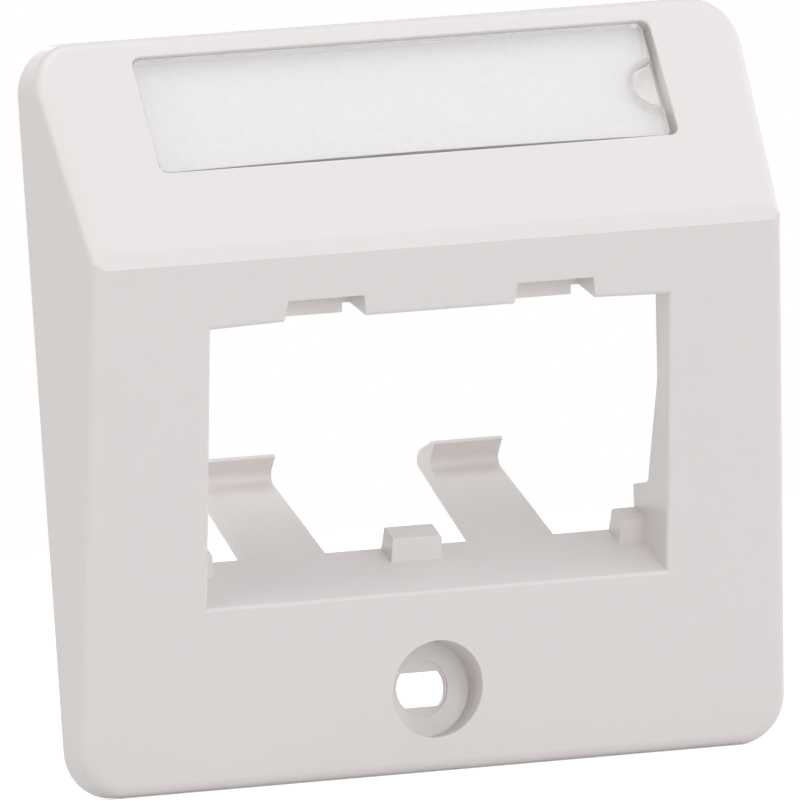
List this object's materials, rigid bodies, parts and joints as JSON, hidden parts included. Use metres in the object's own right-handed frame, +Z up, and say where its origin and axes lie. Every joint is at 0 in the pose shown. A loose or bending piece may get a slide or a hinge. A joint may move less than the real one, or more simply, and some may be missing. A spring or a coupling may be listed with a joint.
{
  "type": "keystone faceplate",
  "caption": "Wedge-fronted square wall faceplate with an open-backed shell, a sloped tray with latch arms for angled keystone outlets, a sunk screw seat and a label under a clear window.",
  "frame": {"origin": "centre of the back plane, where the rim rests on the wall frame", "axes": "+X right as seen from the front, +Y into the wall, +Z up"},
  "size_m": [0.05, 0.0198, 0.0488],
  "materials": {
    "faceplate": "satin",
    "label_card": "matte",
    "label_cover": "gloss"
  },
  "bodies": {
    "root": {"faceplate": "faceplate", "label_card": "label_card", "label_cover": "label_cover"}
  },
  "joints": []
}
